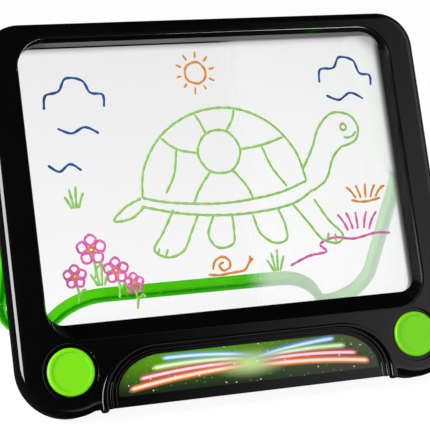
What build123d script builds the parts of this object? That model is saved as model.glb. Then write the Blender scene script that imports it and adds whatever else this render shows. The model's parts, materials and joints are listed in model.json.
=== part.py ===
from build123d import *
import math
import os

# A lit drawing board: a clear panel in a black moulded frame that leans back on a folding loop stand.
# Each piece is drawn upright in the board's own frame: X across, Y from the front face to the back,
# Z up the board, with the origin midway between the two buttons. At the end the whole board leans back
# and is set on the floor.

# Driving sizes of the whole board
frame_width = 333.0
frame_top = 247.0
lobe_bottom = -31.0
plate_bottom = -27.5
frame_thickness = 22.5
lean_angle = 32.3
floor_flat = 0.5
overrun = 5.0
edge_search = 0.01
quarter_turn = 90.0
half_turn = 180.0

# Frame shell
top_corner_radius = 27.0
lobe_radius = 36.0
blend_radius = 12.0
front_rounding = 6.0
back_rounding = 4.0
parting_depth = 14.0
bezel_wall = 2.2
bezel_inner_rounding = 3.4
cover_wall = 2.0

# Window
window_side_margin = 25.3
window_top_margin = 15.8
window_low = 33.0
window_half = frame_width / 2 - window_side_margin
window_high = frame_top - window_top_margin
window_radius = 12.0
panel_depth = 10.0
panel_thickness = 3.0
panel_overlap = 4.6
panel_radius = 6.0
window_wall = 2.0
step_depth = 1.0
step_width = 1.4
slope_side = 3.0
slope_top = 4.3
slope_bottom = 12.0
slope_radius_gain = 11.6
rear_flare = 2.0
panel_rest_width = 14.0
panel_rest_share = 0.55

# Buttons and their wells
button_side_margin = 35.2
button_spacing = frame_width - 2 * button_side_margin
button_radius = 16.5
button_stand_out = 1.6
button_travel = 1.8
button_edge_rounding = 1.1
button_rim = 2.7
button_dish = 0.45
button_skin = 2.2
button_wall = 1.9
button_gap = 0.4
well_radius = 19.3
well_depth = 1.5
well_floor = 1.5
well_rim_rounding = 0.6
flange_width = 1.8
flange_thickness = 1.6
flange_gap = 0.45
guide_wall = 1.9
guide_depth = 9.0
stem_radius = 3.4

# Push switches and circuit boards
plunger_radius = 1.5
plunger_gap = 0.05
plunger_seat = 4.2
stem_gap = 0.4
switch_size = 8.5
switch_height = 5.0
switch_entry = 1.0
switch_bore_spare = 1.0
board_width = 58.0
board_height = 22.0
board_thickness = 1.6
board_depth = 15.2
board_hole_spacing = 49.0
board_post_radius = 2.6
chip_width = 7.0
chip_height = 5.0
chip_thickness = 1.2
chip_offset = 12.0

# Name plate: one outline that widens from the label out to the last rib
label_top = 6.3
label_bottom = -20.8
label_corner_x = 34.0
label_corner_z = 26.0
plate_side_margin = 54.3
rib_band_width = 12.9
rib_band_height = 7.7
plate_half = frame_width / 2 - plate_side_margin
label_half = plate_half - rib_band_width
plate_corner_x = 42.0
plate_corner_z = 38.0
label_recess = 2.4
label_thickness = 0.3
label_gap_share = 0.04
plate_backing = 5.0
rib_shares = ((1.0, 0.64), (0.54, 0.36), (0.28, 0.12))
rib_height = 1.4
rib_height_shares = (1.0, 0.3, -0.5)
groove_depth = 1.3
edge_rounding_share = 0.28
bead_rounding_share = 0.45
rib_foot_drop = 2.8
rib_foot_drop_shares = (1.0, 0.25, 0.0)

# Screws and their posts
case_screw_radius = 1.4
case_screw_gap = 0.05
case_screw_length = 12.5
pilot_spare = 0.6
press_gap = 0.02
screw_head_radius = 2.6
screw_head_height = 1.8
bezel_post_radius = 3.6
cover_post_radius = 4.2
counterbore_radius = 3.1
counterbore_floor = 16.5
through_gap = 0.2
side_post_margin = 10.0
side_post_rise = 9.0
side_post_share = 0.313
top_post_share = 0.53
top_post_margin = 7.0
bottom_post_share = 0.75
bottom_post_rise = 11.5
board_screw_radius = 1.1
board_screw_length = 6.0
board_screw_head_radius = 2.1
board_screw_head_height = 1.4

# Lamp strips
strip_end_margin = 7.1
strip_length = window_high - window_low - 2 * strip_end_margin
strip_width = 8.0
strip_thickness = 1.2
lamp_gap = 0.6
lamp_thickness = 1.4
lamp_length = 3.5
lamp_width = 2.8
lamp_count = 7
lamp_end_gap = 10.0
strip_rib_thickness = 1.6

# Battery tray and door
cell_radius = 5.2
cell_length = 43.5
cell_pitch = 11.0
cell_tip_radius = 1.9
cell_tip_length = 0.9
cell_count = 3
spring_length = 5.6
spring_radius = 3.4
spring_tip_radius = 2.0
contact_size = 8.6
contact_thickness = 0.5
tray_centre_z = 1.5
tray_spare = 0.3
tray_wall = 1.6
tray_front = 7.4
door_margin_x = 3.0
door_margin_z = 5.8
door_gap = 0.3
door_thickness = 2.0
door_grip_count = 5
door_grip_pitch = 3.0
door_grip_width = 1.2
door_grip_depth = 0.5
door_grip_length = 18.0
door_screw_radius = 1.1
door_screw_length = 8.0
door_screw_head_radius = 2.1
door_screw_head_height = 1.2
door_post_radius = 2.7

# Wires
wire_radius = 0.8
wire_drop = 3.0
wire_bend = 6.0

# Stand
stand_arm_margin = 14.3
stand_arm_x = frame_width / 2 - stand_arm_margin
stand_length = 136.0
stand_width = 7.0
stand_depth = 9.5
stand_gap = 0.8
stand_lip = 1.6
stand_back_wall = 2.0
stand_corner_radius = 32.6
stand_notch_radius = 8.0
stand_shoulder_radius = 45.5
stand_crossbar_height = 32.7
stand_heel = 8.0
stand_solid_end = 13.0
stand_rounding = 1.0
stand_web_thickness = 1.5
stand_web_pitch = 27.0
stand_web_setback = 1.2
stop_gap = 0.15

# Stand hinge
stand_slant_angle = 16.46
pin_radius = 2.5
pin_running_gap = 0.06
pin_head_radius = 3.4
pin_head_thickness = 1.0
lug_thickness = 3.2
lug_side_gap = 0.4
lug_radius = 5.4


def board_plane(depth):
    """The plane that lies the given depth behind the front face."""
    return Plane(origin=(0, depth, 0), x_dir=(1, 0, 0), z_dir=(0, -1, 0))


def slab(sketch, front, back):
    """A sketch in the board's plane, filled from one depth to another."""
    return extrude(board_plane(front) * sketch, amount=back - front, dir=(0, 1, 0))


def turned(radius, front, back):
    """A round bar about the Y axis."""
    return slab(Circle(radius), front, back)


def at(x, z):
    """A place in the board's plane."""
    return Pos(x, 0, z)


def both_sides(shape):
    """A shape and its mirror image."""
    return [shape, mirror(shape, about=Plane.YZ)]


def group(shapes):
    """Several shapes kept as separate solids of one node."""
    return Compound([solid for shape in shapes for solid in shape.solids()])


# The frame's outline: straight top and sides, round top corners, and two round lobes under the buttons
lobe_x = frame_width / 2 - lobe_radius
lobe_z = lobe_bottom + lobe_radius
blend_z = plate_bottom - blend_radius
blend_reach = lobe_radius + blend_radius
blend_x = lobe_x - math.sqrt(blend_reach**2 - (lobe_z - blend_z) ** 2)
blend_angle = math.degrees(math.atan2(lobe_z - blend_z, lobe_x - blend_x))


def frame_face(inset):
    """The frame's outline, drawn in by an inset."""
    side = frame_width / 2 - inset
    top = frame_top - inset
    bottom = plate_bottom + inset
    corner = top_corner_radius - inset
    right = [
        CenterArc((blend_x, blend_z), blend_radius + inset, quarter_turn, blend_angle - quarter_turn),
        CenterArc((lobe_x, lobe_z), lobe_radius - inset, blend_angle - half_turn, half_turn - blend_angle),
        Line((side, lobe_z), (side, top - corner)),
        CenterArc((side - corner, top - corner), corner, 0, quarter_turn),
    ]
    left = [edge.mirror(Plane.YZ) for edge in right]
    across = [
        Line((blend_x, bottom), (-blend_x, bottom)),
        Line((side - corner, top), (corner - side, top)),
    ]
    return make_face([*right, *left, *across])


def window_face(side, low, high, radius):
    """A round-cornered window outline, given by how far it lies outside the clear opening."""
    width = 2 * (window_half + side)
    height = window_high - window_low + high + low
    middle = (window_high + high + window_low - low) / 2
    return Pos(0, middle) * RectangleRounded(width, height, window_radius + radius)


def slope_face(share, grow):
    """The outline at one height of the window's slope: share 0 is the clear opening, 1 the front edge."""
    return window_face(
        share * slope_side + grow,
        share * slope_bottom + grow,
        share * slope_top + grow,
        share * slope_radius_gain + grow,
    )


def front_window(grow):
    """The window's sloped wall in the bezel, grown outwards by a wall's thickness."""
    sections = [
        board_plane(step_depth) * slope_face(1, grow),
        board_plane(panel_depth) * slope_face(0, grow),
    ]
    return loft(sections, ruled=True)


def rear_window(grow):
    """The window's flared wall in the rear cover, grown outwards by a wall's thickness."""
    flare = rear_flare + grow
    sections = [
        board_plane(panel_depth + panel_thickness) * window_face(grow, grow, grow, grow),
        board_plane(frame_thickness) * window_face(flare, flare, flare, flare),
    ]
    return loft(sections, ruled=True)


def plate_face(share, bottom):
    """The name plate's outline: share 0 is the label and share 1 the outermost rib."""
    half = label_half + share * rib_band_width
    top = label_top + share * rib_band_height
    corner_x = label_corner_x + share * (plate_corner_x - label_corner_x)
    corner_z = label_corner_z + share * (plate_corner_z - label_corner_z)
    right = [
        Line((half, bottom), (half, top - corner_z)),
        EllipticalCenterArc((half - corner_x, top - corner_z), corner_x, corner_z, 0, arc_size=quarter_turn),
    ]
    left = [edge.mirror(Plane.YZ) for edge in right]
    across = [
        Line((half, bottom), (-half, bottom)),
        Line((half - corner_x, top), (corner_x - half, top)),
    ]
    return make_face([*right, *left, *across])


def edges_at_depth(shape, depth):
    """The edges that lie wholly in the plane at a depth."""
    return shape.edges().filter_by_position(Axis.Y, depth - edge_search, depth + edge_search)


# Places that several pieces share
button_places = {"power": at(-button_spacing / 2, 0), "mode": at(button_spacing / 2, 0)}
window_height = window_high - window_low
side_post_heights = [
    window_low + side_post_rise,
    window_low + side_post_share * window_height,
    frame_top - top_corner_radius,
]
post_places = [(frame_width / 2 - side_post_margin, height) for height in side_post_heights]
post_places.append((top_post_share * window_half, frame_top - top_post_margin))
post_places.append((bottom_post_share * plate_half, plate_bottom + bottom_post_rise))
case_posts = [at(side * x, z) for side in (-1, 1) for x, z in post_places]
board_posts = [
    place * at(side * board_hole_spacing / 2, 0) for place in button_places.values() for side in (-1, 1)
]
flange_front = well_depth + well_floor
guide_bore = button_radius + flange_width + flange_gap
lamp_x = window_half + panel_overlap + lamp_gap
strip_x = lamp_x + lamp_thickness
strip_back_x = strip_x + strip_thickness
lamp_depth = panel_depth + panel_thickness / 2
window_centre_z = (window_low + window_high) / 2


def upright_box(low_x, high_x, front, back, low_z, high_z):
    """A plain block between two corners."""
    sketch = Pos((low_x + high_x) / 2, (low_z + high_z) / 2) * Rectangle(high_x - low_x, high_z - low_z)
    return slab(sketch, front, back)


def make_front_bezel():
    """The black front half: rounded shell, sloped window, button wells and name plate ribs."""
    shell = slab(frame_face(0), 0, parting_depth)
    shell = fillet(edges_at_depth(shell, 0), front_rounding)
    hollow = slab(frame_face(bezel_wall), bezel_wall, parting_depth + overrun)
    hollow = fillet(edges_at_depth(hollow, bezel_wall), bezel_inner_rounding)
    body = shell - hollow

    # Window wall, name plate backing, button guides, screw posts and lamp strip ribs
    body += front_window(window_wall)
    body += slab(plate_face(1, plate_bottom + bezel_wall / 2), bezel_wall / 2, plate_backing)
    for place in button_places.values():
        guide = turned(well_radius + guide_wall, bezel_wall / 2, flange_front)
        guide += turned(guide_bore + guide_wall, bezel_wall / 2, guide_depth)
        body += place * guide
    for place in case_posts:
        body += place * turned(bezel_post_radius, bezel_wall / 2, parting_depth)
    for place in board_posts:
        body += place * turned(board_post_radius, bezel_wall / 2, board_depth)
    low_z = window_centre_z - strip_length / 2
    high_z = window_centre_z + strip_length / 2
    rib = upright_box(
        strip_back_x, strip_back_x + strip_rib_thickness, bezel_wall / 2, parting_depth, low_z, high_z
    )
    rest_top = window_low - panel_overlap
    rest_x = panel_rest_share * window_half
    rest = upright_box(
        rest_x - panel_rest_width / 2,
        rest_x + panel_rest_width / 2,
        bezel_wall / 2,
        parting_depth,
        rest_top - window_wall,
        rest_top,
    )
    for piece in both_sides(rib) + both_sides(rest):
        body += piece

    # Window opening with its shallow step
    body -= slab(slope_face(1, step_width), -overrun, step_depth)
    body -= front_window(0)

    # Name plate: the recess, then the ribs that run round it and down over the bottom edge
    sunk = plate_face(rib_shares[0][1], plate_bottom)
    body -= slab(sunk, -overrun, groove_depth)
    body += slab(sunk - plate_face(0, label_bottom), groove_depth, plate_backing)
    for (outer, inner), height_share, drop_share in zip(rib_shares, rib_height_shares, rib_foot_drop_shares):
        bottom = plate_bottom - drop_share * rib_foot_drop
        ring = plate_face(outer, bottom) - plate_face(inner, bottom - overrun)
        if drop_share > 0:
            feet = ring.vertices().filter_by_position(Axis.Y, bottom - edge_search, bottom + edge_search)
            ring = fillet(feet, bead_rounding_share * (outer - inner) * rib_band_width)
        front = -height_share * rib_height
        rib = slab(ring, front, plate_backing)
        width = (outer - inner) * rib_band_height
        rib = fillet(edges_at_depth(rib, front), bead_rounding_share * width)
        body += rib
    body -= slab(plate_face(label_gap_share, label_bottom), -overrun, label_recess)

    # Button wells and the bores that the buttons run in
    for place in button_places.values():
        well = turned(well_radius, -overrun, well_depth)
        well += turned(button_radius + button_gap, -overrun, flange_front + overrun)
        well += turned(guide_bore, flange_front, parting_depth)
        body -= place * well
    circles = edges_at_depth(body, 0).filter_by(GeomType.CIRCLE)
    rims = [circle for circle in circles if abs(circle.radius - well_radius) < edge_search]
    body = fillet(rims, well_rim_rounding)
    for place in case_posts:
        tip = counterbore_floor - case_screw_length - pilot_spare
        pilot = turned(case_screw_radius + case_screw_gap, tip, parting_depth + overrun)
        body -= place * pilot
    for place in board_posts:
        tip = board_depth + board_thickness - board_screw_length - pilot_spare
        pilot = turned(board_screw_radius + case_screw_gap, tip, board_depth + overrun)
        body -= place * pilot
    return body


def make_drawing_panel():
    """The clear sheet, held at its edges between bezel and cover."""
    outline = window_face(panel_overlap, panel_overlap, panel_overlap, panel_radius - window_radius)
    return slab(outline, panel_depth, panel_depth + panel_thickness)


def make_name_label():
    """The printed label, glued in the name plate's recess."""
    return slab(plate_face(0, label_bottom), label_recess - label_thickness, label_recess)


# The battery tray's inner size follows from its cells
tray_length = cell_length + cell_tip_length + spring_length + 2 * contact_thickness + 2 * tray_spare
tray_height = cell_count * cell_pitch + tray_spare
tray_floor = tray_front + tray_wall
door_front = frame_thickness - door_thickness
door_screw_places = [at(0, tray_centre_z + side * (tray_height + door_margin_z) / 2) for side in (-1, 1)]


def tray_block(grow_x, grow_z, front, back):
    """A block on the battery tray's centre, larger than its inside by a margin on each side."""
    sketch = Pos(0, tray_centre_z) * Rectangle(tray_length + 2 * grow_x, tray_height + 2 * grow_z)
    return slab(sketch, front, back)


# The stand's pivot lies where its foot is on the floor once it leans out by its slant
pivot_depth = frame_thickness + stand_gap + stand_depth / 2
lean = math.radians(lean_angle)
open_angle = lean_angle + stand_slant_angle


def height_above_buttons(depth, height):
    """How high a point of the leaning board lies above the line between the buttons."""
    return height * math.cos(lean) - depth * math.sin(lean)


floor_height = height_above_buttons(frame_thickness - back_rounding, lobe_bottom + back_rounding)
floor_height += floor_flat - back_rounding
stand_slant = math.radians(stand_slant_angle)
pivot_drop = stand_length * math.cos(stand_slant) + stand_depth / 2 * math.sin(stand_slant)
pivot_height = floor_height - floor_flat + pivot_drop
pivot_z = (pivot_height + pivot_depth * math.sin(lean)) / math.cos(lean)


def lug_shape():
    """One hinge lug: a tongue with a round end that stands out from the cover's back."""
    profile = Circle(lug_radius)
    root = frame_thickness - cover_wall / 2
    tongue = Pos((root + pivot_depth) / 2, 0) * Rectangle(pivot_depth - root, 2 * lug_radius)
    outline = Pos(pivot_depth, 0) * profile + tongue
    side_plane = Plane(origin=(0, 0, pivot_z), x_dir=(0, 1, 0), z_dir=(1, 0, 0))
    return extrude(side_plane * outline, amount=lug_thickness / 2, both=True)


lug_offset = stand_width / 2 + lug_side_gap + lug_thickness / 2
lug_places = [stand_arm_x - lug_offset, stand_arm_x + lug_offset]
pin_length = 2 * (lug_offset + lug_thickness / 2)


def pin_bar(radius, length):
    """A round bar along X at the pivot, centred on the stand's arm."""
    bar_plane = Plane(origin=(stand_arm_x, pivot_depth, pivot_z), x_dir=(0, 1, 0), z_dir=(1, 0, 0))
    return extrude(bar_plane * Circle(radius), amount=length / 2, both=True)


def make_rear_cover():
    """The black back half: shell, window wall, screw posts, battery tray and stand lugs."""
    shell = slab(frame_face(0), parting_depth, frame_thickness)
    shell = fillet(edges_at_depth(shell, frame_thickness), back_rounding)
    body = shell - slab(frame_face(cover_wall), parting_depth - overrun, frame_thickness - cover_wall)
    body += rear_window(window_wall)
    for place in case_posts:
        body += place * turned(cover_post_radius, parting_depth, frame_thickness - cover_wall / 2)

    # Battery tray: the box, its ledge for the door and the posts for the door's screws
    body += tray_block(tray_wall, tray_wall, tray_front, frame_thickness - cover_wall / 2)
    ledge_x = door_margin_x + door_gap + tray_wall
    ledge_z = door_margin_z + door_gap + tray_wall
    body += tray_block(ledge_x, ledge_z, door_front - tray_wall, frame_thickness - cover_wall / 2)
    for place in door_screw_places:
        body += place * turned(door_post_radius, door_front - door_screw_length, door_front)
    recess_x = door_margin_x + door_gap
    recess_z = door_margin_z + door_gap
    body -= tray_block(recess_x, recess_z, door_front, frame_thickness + overrun)
    body -= tray_block(0, 0, tray_floor, frame_thickness)
    pilot_tip = door_front - door_screw_length
    for place in door_screw_places:
        body -= place * turned(door_screw_radius + case_screw_gap, pilot_tip, frame_thickness)

    # Stand lugs on the back
    for x in lug_places:
        for lug in both_sides(Pos(x, 0, 0) * lug_shape()):
            body += lug

    body -= rear_window(0)
    for place in case_posts:
        body -= place * turned(counterbore_radius, counterbore_floor, frame_thickness + overrun)
        body -= place * turned(case_screw_radius + through_gap, parting_depth - overrun, counterbore_floor)
    for bore in both_sides(pin_bar(pin_radius + press_gap, pin_length + 2 * overrun)):
        body -= bore
    return body


def make_screw(radius, length, head_radius, head_height, seat):
    """A screw along Y, driven from the back, with its head on the seat depth."""
    return turned(radius, seat - length, seat) + turned(head_radius, seat, seat + head_height)


switch_front = board_depth - switch_height
stem_back = switch_front - button_travel - stem_gap
plunger_front = stem_back - plunger_seat
plunger_back = switch_front + switch_entry


def make_button():
    """A dished round cap with a skirt, a retaining flange and a stem for the switch's plunger."""
    front = -button_stand_out
    flange_back = flange_front + flange_thickness
    cap = turned(button_radius, front, flange_back)
    cap = fillet(edges_at_depth(cap, front), button_edge_rounding)
    dish = turned(button_radius - button_rim, front - overrun, front + button_dish)
    cap -= fillet(edges_at_depth(dish, front + button_dish), button_dish * edge_rounding_share)
    cap += turned(button_radius + flange_width, flange_front, flange_back)
    cap -= turned(button_radius - button_wall, front + button_dish + button_skin, flange_back)
    cap += turned(stem_radius, front + button_dish + button_skin / 2, stem_back)
    cap -= turned(plunger_radius + press_gap, plunger_front, stem_back)
    return cap


def make_plunger():
    """The push switch's plunger, pressed into the button's stem."""
    return turned(plunger_radius, plunger_front, plunger_back)


def make_switch():
    """The push switch's square housing, open at the front for its plunger."""
    housing = slab(Rectangle(switch_size, switch_size), switch_front, board_depth)
    bore_back = plunger_back + button_travel + switch_bore_spare
    return housing - turned(plunger_radius + plunger_gap, switch_front, bore_back)


def make_circuit_board():
    """A small board on two posts, with holes for its screws."""
    board = slab(Rectangle(board_width, board_height), board_depth, board_depth + board_thickness)
    for side in (-1, 1):
        hole = at(side * board_hole_spacing / 2, 0) * turned(
            board_screw_radius + through_gap, board_depth, board_depth + board_thickness
        )
        board -= hole
    return board


def make_lamp_strip():
    """A narrow circuit strip that stands beside the panel's edge."""
    low_z = window_centre_z - strip_length / 2
    high_z = window_centre_z + strip_length / 2
    return upright_box(
        strip_x, strip_back_x, lamp_depth - strip_width / 2, lamp_depth + strip_width / 2, low_z, high_z
    )


def make_lamps():
    """The lamps on one strip, evenly spaced, facing the panel's edge."""
    span = strip_length - 2 * lamp_end_gap
    lamps = []
    for index in range(lamp_count):
        middle = window_centre_z - span / 2 + span * index / (lamp_count - 1)
        lamps.append(
            upright_box(
                lamp_x,
                strip_x,
                lamp_depth - lamp_width / 2,
                lamp_depth + lamp_width / 2,
                middle - lamp_length / 2,
                middle + lamp_length / 2,
            )
        )
    return group(lamps)


def along_x(radius, start, end, z, depth):
    """A round bar along X."""
    bar_plane = Plane(origin=(start, depth, z), x_dir=(0, 1, 0), z_dir=(1, 0, 0))
    return extrude(bar_plane * Circle(radius), amount=end - start)


cell_depth = tray_floor + tray_spare + cell_radius
tray_left = -tray_length / 2
tray_right = tray_length / 2
cell_rows = [tray_centre_z + (row - (cell_count - 1) / 2) * cell_pitch for row in range(cell_count)]


def cell_layout(row):
    """Where a cell's flat end lies and which way it points; the cells alternate."""
    direction = 1 if row % 2 == 0 else -1
    flat_end = direction * (tray_left + contact_thickness + tray_spare + spring_length)
    return direction, flat_end


def make_batteries():
    """Three cells side by side, each with its raised tip."""
    cells = []
    for row, z in enumerate(cell_rows):
        direction, flat_end = cell_layout(row)
        shoulder = flat_end + direction * cell_length
        cell = along_x(cell_radius, flat_end, shoulder, z, cell_depth)
        cell += along_x(cell_tip_radius, shoulder, shoulder + direction * cell_tip_length, z, cell_depth)
        cells.append(cell)
    return group(cells)


def make_battery_springs():
    """One tapered contact spring at each cell's flat end, as its closed outer shape."""
    springs = []
    for row, z in enumerate(cell_rows):
        direction, flat_end = cell_layout(row)
        wall_end = flat_end - direction * spring_length
        wall_plane = Plane(origin=(wall_end, cell_depth, z), x_dir=(0, 1, 0), z_dir=(1, 0, 0))
        tip_plane = Plane(origin=(flat_end, cell_depth, z), x_dir=(0, 1, 0), z_dir=(1, 0, 0))
        springs.append(loft([wall_plane * Circle(spring_radius), tip_plane * Circle(spring_tip_radius)]))
    return group(springs)


def make_battery_contacts():
    """Plates at both ends of each cell, flat against the tray's end walls."""
    plates = []
    for z in cell_rows:
        for start in (tray_left, tray_right - contact_thickness):
            plates.append(
                upright_box(
                    start,
                    start + contact_thickness,
                    cell_depth - contact_size / 2,
                    cell_depth + contact_size / 2,
                    z - contact_size / 2,
                    z + contact_size / 2,
                )
            )
    return group(plates)


def make_battery_door():
    """The flush door over the battery tray, with a ribbed thumb grip and two screw holes."""
    door = tray_block(door_margin_x, door_margin_z, door_front, frame_thickness)
    back = frame_thickness + overrun
    seat = frame_thickness - door_screw_head_height
    for index in range(door_grip_count):
        offset = (index - (door_grip_count - 1) / 2) * door_grip_pitch
        groove = Pos(offset, tray_centre_z) * Rectangle(door_grip_width, door_grip_length)
        door -= slab(groove, frame_thickness - door_grip_depth, back)
    for place in door_screw_places:
        door -= place * turned(door_screw_radius + through_gap, door_front - overrun, back)
        door -= place * turned(door_screw_head_radius + through_gap, seat, back)
    return door


def stand_line(offset):
    """The stand's loop, moved out from its middle line by an offset, from arm top to arm top."""
    arm_x = stand_arm_x + offset
    corner = stand_corner_radius + offset
    notch = stand_notch_radius + offset
    shoulder = stand_shoulder_radius - offset
    low = stand_width / 2
    corner_z = low + stand_corner_radius
    corner_x = stand_arm_x - stand_corner_radius
    notch_z = low + stand_notch_radius
    shoulder_z = stand_crossbar_height - stand_shoulder_radius
    bend_reach = stand_notch_radius + stand_shoulder_radius
    shoulder_x = corner_x - math.sqrt(bend_reach**2 - (notch_z - shoulder_z) ** 2)
    rise = math.degrees(math.atan2(notch_z - shoulder_z, corner_x - shoulder_x))
    right = [
        Line((arm_x, stand_length + stand_heel), (arm_x, corner_z)),
        CenterArc((corner_x, corner_z), corner, 0, -quarter_turn),
        CenterArc((corner_x, notch_z), notch, -quarter_turn, rise - quarter_turn),
        CenterArc((shoulder_x, shoulder_z), shoulder, rise, quarter_turn - rise),
    ]
    left = [edge.mirror(Plane.YZ) for edge in right]
    crossbar_z = stand_crossbar_height - offset
    return [*right, Line((shoulder_x, crossbar_z), (-shoulder_x, crossbar_z)), *left]


def stand_band(half_width, top):
    """A band along the stand's loop, cut off at the top of its arms."""
    outer = stand_line(half_width)
    inner = stand_line(-half_width)
    full = stand_length + stand_heel
    ends = [
        Line((side * (stand_arm_x - half_width), full), (side * (stand_arm_x + half_width), full))
        for side in (-1, 1)
    ]
    band = make_face([*outer, *inner, *ends])
    keep = Pos(0, top / 2 - overrun) * Rectangle(2 * (stand_arm_x + stand_width), top + 2 * overrun)
    return band & keep


def make_stand_frame():
    """The folding stand: one moulded channel bent to two feet and a raised crossbar."""
    folded_front = frame_thickness + stand_gap
    folded_back = folded_front + stand_depth
    foot_z = pivot_z - stand_length
    channel_back = folded_back - stand_back_wall
    body = slab(stand_band(stand_width / 2, stand_length + stand_heel), folded_front, folded_back)
    body = fillet(edges_at_depth(body, folded_back), stand_rounding)
    channel_half = stand_width / 2 - stand_lip
    channel_top = stand_length - stand_solid_end
    body -= slab(stand_band(channel_half, channel_top), folded_front - overrun, channel_back)
    for web in stand_webs():
        body += web & slab(
            stand_band(channel_half + stand_lip / 2, channel_top),
            folded_front + stand_web_setback,
            channel_back + stand_back_wall / 2,
        )
    body = at(0, foot_z) * body
    for bore in both_sides(pin_bar(pin_radius + pin_running_gap, stand_width + 2 * overrun)):
        body -= bore
    for relief in both_sides(make_heel_relief()):
        body -= relief
    return body


def make_heel_relief():
    """What is rounded off the folded arm beside its pivot, so that the heel clears the cover."""
    heel_radius = stand_gap + stand_depth / 2 - stop_gap
    opening = math.radians(open_angle)
    corner = upright_box(
        stand_arm_x - stand_width,
        stand_arm_x + stand_width,
        frame_thickness,
        pivot_depth - heel_radius * math.cos(opening),
        pivot_z,
        pivot_z + heel_radius * math.sin(opening),
    )
    return corner - pin_bar(heel_radius, 2 * stand_width + overrun)


def stand_webs():
    """Thin cross webs inside the channel: across the crossbar and across both arms."""
    folded_front = frame_thickness + stand_gap
    webs = []
    half_count = int(stand_shoulder_start() // stand_web_pitch)
    for index in range(-half_count, half_count + 1):
        x = index * stand_web_pitch
        webs.append(
            upright_box(
                x - stand_web_thickness / 2,
                x + stand_web_thickness / 2,
                folded_front,
                folded_front + stand_depth,
                stand_crossbar_height - stand_width,
                stand_crossbar_height + stand_width,
            )
        )
    arm_start = stand_width / 2 + stand_corner_radius
    arm_count = int((stand_length - stand_solid_end - arm_start) // stand_web_pitch)
    for index in range(arm_count + 1):
        z = arm_start + index * stand_web_pitch
        web = upright_box(
            stand_arm_x - stand_width,
            stand_arm_x + stand_width,
            folded_front,
            folded_front + stand_depth,
            z - stand_web_thickness / 2,
            z + stand_web_thickness / 2,
        )
        webs += both_sides(web)
    return webs


def stand_shoulder_start():
    """How far the crossbar runs straight on each side of the middle."""
    drop = stand_width / 2 + stand_notch_radius - stand_crossbar_height + stand_shoulder_radius
    reach = stand_notch_radius + stand_shoulder_radius
    return stand_arm_x - stand_corner_radius - math.sqrt(reach**2 - drop**2)


def make_hinge_pin():
    """A round pin with a flat head on its outer end."""
    pin = pin_bar(pin_radius, pin_length)
    head_x = lug_offset + lug_thickness / 2 + pin_head_thickness / 2
    return pin + Pos(head_x, 0, 0) * pin_bar(pin_head_radius, pin_head_thickness)


def make_wire(side):
    """One lead from the battery tray's end to the circuit board on that side."""
    start_x = tray_right + tray_wall
    end_x = button_spacing / 2 - board_width / 2
    middle_x = (start_x + end_x) / 2
    z = tray_centre_z
    end_depth = board_depth + board_thickness / 2
    points = [
        (side * start_x, end_depth, z),
        (side * (middle_x - wire_bend), end_depth, z),
        (side * middle_x, end_depth, z - wire_drop),
        (side * (middle_x + wire_bend), end_depth, z),
        (side * end_x, end_depth, z),
    ]
    path = FilletPolyline(*points, radius=wire_bend)
    ends = Plane(origin=points[0], x_dir=(0, 1, 0), z_dir=(side, 0, 0))
    return sweep(ends * Circle(wire_radius), path=path)


def mirrored(shape):
    """The same piece on the other side."""
    return group(mirror(solid, about=Plane.YZ) for solid in shape.solids())


nodes = {}
nodes["front_bezel"] = make_front_bezel()
nodes["rear_cover"] = make_rear_cover()
nodes["drawing_panel"] = make_drawing_panel()
nodes["name_label"] = make_name_label()

case_screw = make_screw(
    case_screw_radius,
    case_screw_length,
    screw_head_radius,
    screw_head_height,
    counterbore_floor,
)
nodes["case_screws"] = group(place * case_screw for place in case_posts)
board_screw = make_screw(
    board_screw_radius,
    board_screw_length,
    board_screw_head_radius,
    board_screw_head_height,
    board_depth + board_thickness,
)
nodes["board_screws"] = group(place * board_screw for place in board_posts)

for name, place in button_places.items():
    nodes[name + "_button"] = place * make_button()
    nodes[name + "_plunger"] = place * make_plunger()
    nodes[name + "_switch"] = place * make_switch()
    nodes[name + "_board"] = place * make_circuit_board()
chip = slab(Rectangle(chip_width, chip_height), board_depth - chip_thickness, board_depth)
nodes["driver_chip"] = button_places["mode"] * at(-chip_offset, 0) * chip

nodes["led_strip_right"] = make_lamp_strip()
nodes["led_strip_left"] = mirrored(nodes["led_strip_right"])
nodes["leds_right"] = make_lamps()
nodes["leds_left"] = mirrored(nodes["leds_right"])

nodes["batteries"] = make_batteries()
nodes["battery_springs"] = make_battery_springs()
nodes["battery_contacts"] = make_battery_contacts()
nodes["battery_door"] = make_battery_door()
door_screw = make_screw(
    door_screw_radius,
    door_screw_length,
    door_screw_head_radius,
    door_screw_head_height,
    frame_thickness - door_screw_head_height,
)
nodes["door_screws"] = group(place * door_screw for place in door_screw_places)
nodes["battery_wires"] = group([make_wire(1), make_wire(-1)])

nodes["hinge_pin_right"] = make_hinge_pin()
nodes["hinge_pin_left"] = mirrored(nodes["hinge_pin_right"])

# The stand swings out on its pins until its heels meet the cover's back
pivot = Pos(0, pivot_depth, pivot_z)
swing = pivot * Rot(open_angle, 0, 0) * pivot.inverse()
stand = swing * make_stand_frame()
in_front = upright_box(
    -frame_width, frame_width, -frame_thickness, frame_thickness + stop_gap, -frame_top, 2 * frame_top
)
stand -= in_front
nodes["stand_frame"] = stand

# The board leans back, and what stands on the floor is cut flat there
leaned = {name: Rot(-lean_angle, 0, 0) * shape for name, shape in nodes.items()}
ground = Box(2 * frame_width, 4 * frame_top, frame_thickness)
below_floor = Pos(0, 0, floor_height - frame_thickness / 2) * ground
for name in ("rear_cover", "stand_frame"):
    leaned[name] -= below_floor

# The origin goes to the middle of the floor under the whole part
boxes = [shape.bounding_box() for shape in leaned.values()]
middle_x = (min(box.min.X for box in boxes) + max(box.max.X for box in boxes)) / 2
middle_y = (min(box.min.Y for box in boxes) + max(box.max.Y for box in boxes)) / 2
to_origin = Pos(-middle_x, -middle_y, -floor_height)
placed = {name: to_origin * shape for name, shape in leaned.items()}

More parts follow.
